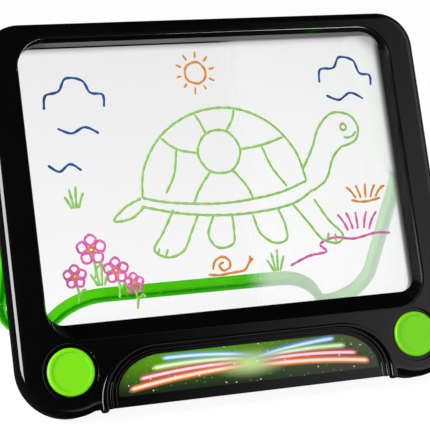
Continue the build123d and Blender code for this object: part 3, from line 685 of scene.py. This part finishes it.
def add_bead(mesh, places, radius, sides):
    """Adds a round bead of a radius in mm along places in metres."""
    rings = []
    first = None
    for index, place in enumerate(places):
        way = (point_at(places, index + 1) - point_at(places, index - 1)).normalized()
        if first is None:
            first = way.orthogonal().normalized()
        first = (first - way * first.dot(way)).normalized()
        second = way.cross(first)
        ring = []
        for side in range(sides):
            angle = math.tau * side / sides
            out = first * math.cos(angle) + second * math.sin(angle)
            ring.append(mesh.verts.new(place + out * (radius * MM)))
        rings.append(ring)
    skin_rings(mesh, rings)


corner_right = edge_half - edge_radius
corner_high = edge_high - edge_radius
corner_low = edge_low + edge_radius
corner_places = [(corner_right, corner_high), (-corner_right, corner_high)]
corner_places += [(-corner_right, corner_low), (corner_right, corner_low)]
arris_places = []
for quarter, (x, up) in enumerate(corner_places):
    for step in range(corner_steps + 1):
        angle = math.radians(90.0 * quarter + 90 * step / corner_steps)
        reach_x, reach_up = edge_radius * math.cos(angle), edge_radius * math.sin(angle)
        arris_places.append(on_board(x + reach_x, up + reach_up, arris_depth))
top_end = 2 * corner_steps + 1
arris_runs = {"top": arris_places[: top_end + 1], "low": arris_places[top_end:] + arris_places[:1]}
flagged = bpy.data.collections.new("lit_by_flagged_lights")
for run, places in arris_runs.items():
    arris_mesh = bmesh.new()
    add_bead(arris_mesh, places, arris_radius, sides=12)
    arris = mesh_object("window_edge_bead_" + run, arris_mesh, polished_black)
    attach(arris, "board")
    if run == "top":
        flagged.objects.link(arris)

# Two flagged lights reach the top run of the arris alone. The low one draws its line along the window's
# top, and the other draws the short arc round the top left corner.
low_place = board_middle + Vector((0.52, -1.0, 0.02))
corner_place = on_board(609, 28, -781)
arc_inset = 6.0
arc_middle = on_board(arc_inset - edge_half, edge_high - arc_inset, 0.0)
low_light = add_softbox("softbox_low", low_place, board_middle, 0.36, 0.2, 40.0)
corner_light = add_softbox("softbox_corner", corner_place, arc_middle, 0.5, 0.4, 32.0)
for lamp in (low_light, corner_light):
    lamp.light_linking.receiver_collection = flagged


# Sheet margin
# Light gathers in the sheet's edge, so along the window's top the deepest part of the slope shows as a
# satin grey band. It is painted light: a thin grey strip on the slope, which runs out in the two top
# corners.
window_corner = 12.0
slope_gain = 11.6
slope_side = 3.0
slope_top = 4.3
slope_depth = 9.0
slope_foot_in = 10.0
margin_foot = 0.03
margin_lift = 0.18


def slope_place(side_x, angle, share, lift):
    """A place on the window's slope at a share of its rise, lifted a little towards the viewer."""
    radius = window_corner + slope_gain * share
    middle_x = side_x * (window_half + slope_side * share - radius)
    middle_up = window_high + slope_top * share - radius
    x = middle_x + (radius - lift) * math.cos(angle)
    up = middle_up + (radius - lift) * math.sin(angle)
    return on_board(x, up, slope_foot_in - slope_depth * share - 0.5 * lift)


# Each station: the window's side, the angle round its corner, and how far up the slope the strip goes.
eighths = [step / 8 for step in range(9)]
margin_stations = [(-1, math.radians(165 - 75 * share), 0.1 + 0.36 * share) for share in eighths]
margin_stations += [(1, math.radians(90 - 72 * share), 0.46 - 0.38 * share) for share in eighths]
margin_mesh = bmesh.new()
margin_rings = []
for side_x, angle, width in margin_stations:
    ring = []
    profile = ((margin_foot, 0.0), (margin_foot, margin_lift), (width, margin_lift), (width, 0.0))
    for share, lift in profile:
        ring.append(margin_mesh.verts.new(slope_place(side_x, angle, share, lift)))
    margin_rings.append(ring)
skin_rings(margin_mesh, margin_rings)
# The strip's grey is painted light, not the slope's own colour.
painted_light_margin_grey = moulded_plastic("acrylic_edge_light_scattering", ("747674", "868886"), (0.3, 0.4), 2.0, 0.01)
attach(mesh_object("sheet_margin_strip", margin_mesh, painted_light_margin_grey, smooth=False), "board")


# Circuit boards
# Two boards of 1.6 mm glass-epoxy laminate under the buttons. Thin copper tracks show as lighter lines
# through the green solder mask, and tinned pads as small bright dots.
board_lean = math.atan2(inward.y, -inward.z)
weave_size = 0.5
pad_spacing = 3.4


def circuit_board(name, mask, track):
    """Glass-epoxy laminate with a solder mask over fine copper tracks."""
    material, add = new_material(name)
    place = millimetres(add)
    flat = add("Mapping", {"Vector": place, "Rotation": (board_lean, 0, 0)})
    bricks = {"Vector": flat, "Scale": 1.0, "Brick Width": 3.2, "Row Height": 1.4, "Mortar Size": 0.14}
    tracks = add("TexBrick", {**bricks, "Mortar Smooth": 0.2, "Bias": 0.0}, "Fac")
    weave = add("TexNoise", {"Vector": place, "Scale": 1 / weave_size, "Detail": 2.0})
    laminate = add("Mix", {0: weave, 6: to_linear(mask[0]), 7: to_linear(mask[1])}, **mixed)
    masked = add("Mix", {0: tracks, 6: laminate, 7: to_linear(track)}, **mixed)
    dots = add("TexVoronoi", {"Vector": flat, "Scale": 1 / pad_spacing, "Randomness": 0.8}, "Distance")
    pads = add("MapRange", {"Value": dots, "From Min": 0.15, "From Max": 0.12})
    tinned = add("Mix", {0: pads, 6: masked, 7: to_linear("C8C9CC")}, **mixed)
    steps = add("Math", {0: tracks, 1: pads}, operation="MAXIMUM")
    relief = add("Bump", {"Height": steps, "Distance": 0.03 * MM, "Strength": 0.8})
    inputs = {"Base Color": tinned, "Metallic": pads, "Roughness": 0.32, "IOR": 1.55, "Normal": relief}
    finish_tree(add("BsdfPrincipled", inputs))
    return material


green_board = circuit_board("glass_epoxy_green_solder_mask", ("0E4A22", "12582A"), "1E7A3C")
dress(green_board, "power_board", "mode_board")


# Switches and plungers
# The push switches have matt black PBT housings. Their plungers are white acetal, which has a waxy
# sheen and lets a little light into its surface.
black_pbt = moulded_plastic("pbt_black_matt_moulding", ("131314", "1A1A1B"), (0.45, 0.55), 0.5, 0.02)
soaked = {"Subsurface Weight": 0.15, "Subsurface Radius": (0.003, 0.003, 0.002), "Subsurface Scale": 0.5}
white_acetal = moulded_plastic(
    "acetal_white_waxy_moulding", ("E4E2DC", "EEEDE8"), (0.3, 0.4), 0.9, 0.01, soaked
)
dress(black_pbt, "power_switch", "mode_switch")
dress(white_acetal, "power_plunger", "mode_plunger")


# Screws
# Board and door screws of zinc-plated steel and case screws with a black oxide skin: a threaded shaft
# that tapers to its tip, and a pan head with a cross recess. Each stands in the place of its plain
# solid, head to the rear.
thread_pitch = 1.0
thread_step = 0.2
crest_half = 0.28


def solids_of(node_name):
    """The low corner, high corner, middle and all places, in the board's mm, of each solid of a piece."""
    node = frame["nodes"][node_name]
    copy = bmesh.new()
    copy.from_mesh(node.data)
    copy.transform(node.matrix_world)
    bmesh.ops.remove_doubles(copy, verts=copy.verts, dist=0.001 * MM)
    waiting = set(copy.verts)
    boxes = []
    while waiting:
        reached = [waiting.pop()]
        group = []
        while reached:
            vertex = reached.pop()
            group.append(vertex.co - board_origin)
            for edge in vertex.link_edges:
                other = edge.other_vert(vertex)
                if other in waiting:
                    waiting.discard(other)
                    reached.append(other)
        spots = [(co.x / MM, co.dot(up_board) / MM, co.dot(inward) / MM) for co in group]
        low, high = ([pick(places) for places in zip(*spots)] for pick in (min, max))
        middle = [(least + most) / 2 for least, most in zip(low, high)]
        boxes.append((low, high, middle, spots))
    copy.free()
    return boxes


def add_turned(mesh, start, along, rings, sides=24, finishes=()):
    """Adds a turned solid: rings of (distance, radius) in mm, where a radius may follow the angle."""
    first = along.orthogonal().normalized()
    second = along.cross(first)
    loops = []
    for distance, radius in rings:
        loop = []
        for side in range(sides):
            angle = math.tau * side / sides
            reach = radius(angle) if callable(radius) else radius
            out = first * math.cos(angle) + second * math.sin(angle)
            loop.append(mesh.verts.new(start + MM * (distance * along + reach * out)))
        loops.append(loop)
    for finish, band in zip(finishes, skin_rings(mesh, loops)):
        for face in band:
            face.material_index = finish


def cross_outline(arm, half_width):
    """The radius of a cross recess at an angle."""

    def radius(angle):
        folded = abs((angle + math.pi / 4) % (math.pi / 2) - math.pi / 4)
        return min(arm / math.cos(folded), half_width / max(math.sin(folded), 0.01))

    return radius


def add_screw(mesh, place, shaft_radius, length, head_radius, head_height):
    """Adds one screw whose head's top is at a place and whose shaft points to the board's front."""
    ridge = 0.22 * shaft_radius
    arm = 0.52 * head_radius
    slot = 0.14 * head_radius
    dome = ((0.0, 0.72), (0.1, 0.86), (0.35, 0.97), (0.6, 1.0), (1.0, 0.97))
    rings = [(0.5 * head_height, cross_outline(0.6 * arm, 0.6 * slot)), (0.0, cross_outline(arm, slot))]
    rings += [(drop * head_height, reach * head_radius) for drop, reach in dome]

    def thread(distance, taper):
        def radius(angle):
            phase = (distance / thread_pitch - angle / math.tau) % 1
            crest = max(0.0, 1 - abs(phase - 0.5) / crest_half)
            return taper * (shaft_radius - ridge + ridge * crest)

        return radius

    count = int(length / thread_step)
    for step in range(count + 1):
        distance = length * step / count
        taper = min(1.0, 0.12 + (length - distance) / (2.2 * shaft_radius))
        rings.append((head_height + distance, thread(distance, taper)))
    add_turned(mesh, place, -inward, rings)


def fine_metal(name, colours, gloss, grain, relief=None, lathe_turned=False):
    """A metal whose colour, gloss and relief all follow one fine pattern."""
    material, add = new_material(name)
    place = millimetres(add)
    if lathe_turned:
        place = add("CombineXYZ", {0: add("SeparateXYZ", {0: place}, "X")})
    pattern = add("TexNoise", {"Vector": place, **grain})
    colour = add("Mix", {0: pattern, 6: to_linear(colours[0]), 7: to_linear(colours[1])}, **mixed)
    ends = {"Value": pattern, "From Min": 0.3, "From Max": 0.7, "To Min": gloss[0], "To Max": gloss[1]}
    inputs = {"Base Color": colour, "Metallic": 1.0, "Roughness": add("MapRange", ends)}
    if relief:
        inputs["Normal"] = add("Bump", {"Height": pattern, **relief})
    finish_tree(add("BsdfPrincipled", inputs))
    return material


# Zinc plate: a bright grey skin, a little cloudy where the bath left it uneven.
zinc_grain = {"Scale": 1 / 0.8, "Detail": 4.0}
zinc_relief = {"Distance": 0.01 * MM, "Strength": 0.5}
zinc_colours = ("B4B7BC", "CFD1D4")
zinc_steel = fine_metal("steel_zinc_plated_screw", zinc_colours, (0.22, 0.38), zinc_grain, zinc_relief)

# Black oxide: a thin oiled skin that leaves the steel nearly black, with brown where it is worn.
oxide_grain = {"Scale": 1 / 0.6, "Detail": 4.0}
black_steel = fine_metal("steel_black_oxide_screw", ("26262A", "3C3834"), (0.3, 0.5), oxide_grain)

# Each set: the piece, its body and finish, and the shaft's radius, head's radius and head's height.
screw_sets = [
    ("case_screws", "board", black_steel, 1.4, 2.6, 1.8),
    ("board_screws", "board", zinc_steel, 1.1, 2.1, 1.4),
    ("door_screws", "door", zinc_steel, 1.1, 2.1, 1.2),
]
for node_name, body, finish, shaft_radius, head_radius, head_height in screw_sets:
    screw_mesh = bmesh.new()
    for low, high, middle, _ in solids_of(node_name):
        length = high[2] - low[2] - head_height
        head_top = on_board(middle[0], middle[1], high[2])
        add_screw(screw_mesh, head_top, shaft_radius, length, head_radius, head_height)
    screws = mesh_object(node_name + "_threaded", screw_mesh, finish, smooth=False)
    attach(screws, body)
    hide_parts(node_name)


# Driver chip
# The light's driver in a small epoxy case, dull and finely grained from its mould. Its eight gull-wing
# legs are soldered to the board, and their tin is the same bright grey as the screws' zinc. It stands
# in the place of the frame's plain block.
leg_count = 4
leg_reach = 0.9
leg_half = 0.17
foot_lift = 0.13
case_gap = 0.15
case_chamfer = 0.18


def add_brick(mesh, low, high, chamfer):
    """Adds a chamfered block between two corners in the board's millimetres."""
    middle = [(a + b) / 2 for a, b in zip(low, high)]
    sizes = [(b - a) * MM for a, b in zip(low, high)]
    axes = Matrix((across * sizes[0], up_board * sizes[1], inward * sizes[2])).transposed().to_4x4()
    axes.translation = on_board(*middle)
    made = bmesh.ops.create_cube(mesh, size=1.0, matrix=axes)["verts"]
    edges = list({edge for vertex in made for edge in vertex.link_edges})
    before = set(mesh.faces) - {face for vertex in made for face in vertex.link_faces}
    bmesh.ops.bevel(mesh, geom=edges, offset=chamfer * MM, segments=2, affect="EDGES", profile=0.5)
    return [face for face in mesh.faces if face not in before]


chip_low, chip_high, chip_middle, _ = solids_of("driver_chip")[0]
case_low = (chip_low[0], chip_low[1] + leg_reach, chip_low[2])
case_high = (chip_high[0], chip_high[1] - leg_reach, chip_high[2] - case_gap)
chip_mesh = bmesh.new()
add_brick(chip_mesh, case_low, case_high, case_chamfer)
foot_in = chip_low[2] + foot_lift
leg_bends = ((-0.1, chip_middle[2]), (0.25, chip_middle[2]), (0.45, foot_in), (0.85, foot_in))
for leg in range(leg_count):
    leg_x = chip_low[0] + (leg + 0.5) * (chip_high[0] - chip_low[0]) / leg_count
    for edge_up, way in ((case_high[1], 1), (case_low[1], -1)):
        leg_places = [on_board(leg_x, edge_up + way * out, depth) for out, depth in leg_bends]
        known = set(chip_mesh.faces)
        add_bead(chip_mesh, leg_places, leg_half, sides=4)
        for face in set(chip_mesh.faces) - known:
            face.material_index = 1
chip_epoxy = moulded_plastic("epoxy_black_chip_case", ("1B1B1C", "242425"), (0.5, 0.62), 0.25, 0.015)
chip = mesh_object("driver_chip_case", chip_mesh, chip_epoxy, zinc_steel, smooth=False)
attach(chip, "board")
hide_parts("driver_chip")


# Lamp strips and lamps
# White-masked circuit strips stand beside the sheet's edges. Each lamp is a white PPA package whose
# cup, turned to the sheet's edge, is filled with yellow phosphor.
white_strip = circuit_board("glass_epoxy_white_solder_mask", ("DCDCD6", "E8E8E2"), "F2F2EE")
dress(white_strip, "led_strip_right", "led_strip_left")
lamp_case = moulded_plastic("ppa_white_lamp_package", ("E6E6E2", "F0F0EC"), (0.4, 0.5), 0.4, 0.01)
soaked = {"Subsurface Weight": 0.2, "Subsurface Radius": (0.001, 0.001, 0.0005), "Subsurface Scale": 0.3}
phosphor = moulded_plastic(
    "silicone_yellow_phosphor_fill", ("E0B81C", "ECC830"), (0.25, 0.35), 0.3, 0.02, soaked
)
lamp_chamfer = 0.14
cup_rim = 0.45
cup_wall = 0.12
cup_depth = 0.35
for node_name in ("leds_right", "leds_left"):
    lamp_mesh = bmesh.new()
    for low, high, _, _ in solids_of(node_name):
        to_sheet = -across if low[0] > 0 else across
        faces = add_brick(lamp_mesh, low, high, lamp_chamfer)
        mouth = max(faces, key=lambda face: (face.normal.dot(to_sheet) > 0.99, face.calc_area()))
        bmesh.ops.inset_individual(lamp_mesh, faces=[mouth], thickness=cup_rim * MM)
        bmesh.ops.inset_individual(lamp_mesh, faces=[mouth], thickness=cup_wall * MM, depth=-cup_depth * MM)
        mouth.material_index = 1
    lamps = mesh_object(node_name + "_packages", lamp_mesh, lamp_case, phosphor, smooth=False)
    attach(lamps, "board")
    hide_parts(node_name)


# Battery cells
# Three AAA cells in plain printed sleeves, silver with a green band. The sleeve is shrunk over the
# can's crimped ends, and the nickel-plated tip and base stay bare.
band_half = 12.0
end_slice = 0.1
tip_reach = 2.6
nickel_grain = {"Scale": 1 / 1.5, "Detail": 5.0, "Roughness": 0.6}
nickel = fine_metal("steel_nickel_plated_bright", ("C2BFB8", "DAD7D0"), (0.14, 0.28), nickel_grain)

sleeve, add = new_material("pvc_shrink_sleeve_silver_green")
cells_low, cells_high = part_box("batteries")
cell_middle = (cells_low.x + cells_high.x) / 2
cell_x = add("SeparateXYZ", {0: add("TexCoord", {}, "Object")}, "X")
from_middle = add("Math", {0: cell_x, 1: cell_middle}, operation="SUBTRACT")
off_middle = add("Math", {0: from_middle}, operation="ABSOLUTE")
band_edge = {"Value": off_middle, "From Min": band_half * MM, "From Max": (band_half + 0.3) * MM}
band = add("MapRange", band_edge)
fine = add("TexNoise", {"Vector": millimetres(add), "Scale": 1 / 0.4, "Detail": 2.0})
silver_ink = add("Mix", {0: fine, 6: to_linear("B9BCC0"), 7: to_linear("CDD0D4")}, **mixed)
sleeve_colour = add("Mix", {0: band, 6: to_linear("2E8C3A"), 7: silver_ink}, **mixed)
wrinkle = add("TexNoise", {"Vector": millimetres(add), "Scale": 1 / 3.0, "Detail": 2.0})
shrink = add("Bump", {"Height": wrinkle, "Distance": 0.04 * MM, "Strength": 0.4})
metal_ink = add("Math", {0: band, 1: 0.6}, operation="MULTIPLY")
inputs = {"Base Color": sleeve_colour, "Metallic": metal_ink, "Roughness": 0.26, "Normal": shrink}
finish_tree(add("BsdfPrincipled", inputs))


def end_reach(spots, end, middle):
    """How far a solid reaches from its axis at one of its ends, in mm."""
    near = [(up, depth) for x, up, depth in spots if abs(x - end) < end_slice]
    return max(math.hypot(up - middle[1], depth - middle[2]) for up, depth in near)


# Each ring of a cell: its distance from the flat end and its radius, base first and tip last.
cell_rings = [(0.0, 3.4), (0.12, 4.0), (0.05, 4.3), (0.1, 4.8), (0.5, 5.12), (0.9, 5.2), (42.6, 5.2)]
cell_rings += [(43.1, 5.08), (43.4, 4.7), (43.45, 4.1), (43.3, 3.2), (43.35, 2.2), (43.5, 1.9)]
cell_rings += [(44.2, 1.85), (44.4, 1.6)]
# The finish of each band between those rings: 1 is the bare nickel, and 0 the sleeve.
cell_finishes = [1] * 3 + [0] * 6 + [1] * 5
cell_mesh = bmesh.new()
for low, high, middle, spots in solids_of("batteries"):
    tip_at_right = end_reach(spots, high[0], middle) < tip_reach
    start_x = low[0] if tip_at_right else high[0]
    along = across if tip_at_right else -across
    stretch = (high[0] - low[0]) / cell_rings[-1][0]
    rings = [(distance * stretch, radius) for distance, radius in cell_rings]
    start = on_board(start_x, middle[1], middle[2])
    add_turned(cell_mesh, start, along, rings, 32, cell_finishes)
cells = mesh_object("battery_cells", cell_mesh, sleeve, nickel)
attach(cells, "board")
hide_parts("batteries")


# Battery springs and contacts
# Each cell rests on a conical spring of 0.7 mm nickel-plated wire, wound in five turns from a wide base
# to a narrow tip. The contact plates are the same plated steel.
dress(nickel, "battery_contacts")
wire_half = 0.35
turns = 5
turn_steps = 20
spring_mesh = bmesh.new()
for low, high, middle, spots in solids_of("battery_springs"):
    reach = {end: end_reach(spots, end, middle) for end in (low[0], high[0])}
    wide, narrow = sorted(reach, key=reach.get, reverse=True)
    steps = turns * turn_steps
    wire_places = []
    for step in range(steps + 1):
        share = step / steps
        travel = min(max((share - 0.5 / turns) / (1 - 1 / turns), 0), 1)
        radius = (1 - share) * reach[wide] + share * reach[narrow] - wire_half
        inset = wire_half if wide < narrow else -wire_half
        x = wide + inset + travel * (narrow - wide - 2 * inset)
        angle = math.tau * turns * share
        up, depth = middle[1] + radius * math.cos(angle), middle[2] + radius * math.sin(angle)
        wire_places.append(on_board(x, up, depth))
    add_bead(spring_mesh, wire_places, wire_half, sides=8)
springs = mesh_object("battery_springs_wound", spring_mesh, nickel)
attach(springs, "board")
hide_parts("battery_springs")


# Battery leads
# Two stranded leads with soft PVC insulation, red on one side and black on the other. The insulation
# has a dull gloss and the fine waviness of extruded wire.
lead, add = new_material("pvc_extruded_wire_insulation")
lead_x = add("SeparateXYZ", {0: add("TexCoord", {}, "Object")}, "X")
right_lead = add("Math", {0: lead_x, 1: 0.0}, operation="GREATER_THAN")
lead_colour = add("Mix", {0: right_lead, 6: to_linear("141414"), 7: to_linear("B8161A")}, **mixed)
drawn = add("TexNoise", {"Vector": millimetres(add), "Scale": 1 / 1.2, "Detail": 2.0})
ends = {"Value": drawn, "From Min": 0.3, "From Max": 0.7, "To Min": 0.3, "To Max": 0.45}
lead_gloss = add("MapRange", ends)
ripple = add("Bump", {"Height": drawn, "Distance": 0.03 * MM, "Strength": 0.5})
inputs = {"Base Color": lead_colour, "Roughness": lead_gloss, "IOR": 1.53, "Normal": ripple}
finish_tree(add("BsdfPrincipled", inputs))
dress(lead, "battery_wires")


# Hinge pins
# Two turned steel pins that the stand swings on. The lathe leaves fine rings round each pin, so the
# light runs along it in a narrow streak.
turning_grain = {"Scale": 1 / 0.12, "Detail": 2.0}
turning_relief = {"Distance": 0.01 * MM, "Strength": 0.6}
turned_steel = fine_metal(
    "steel_turned_pin", ("8E9094", "B0B2B6"), (0.2, 0.36), turning_grain, turning_relief, lathe_turned=True
)
dress(turned_steel, "hinge_pin_right", "hinge_pin_left")
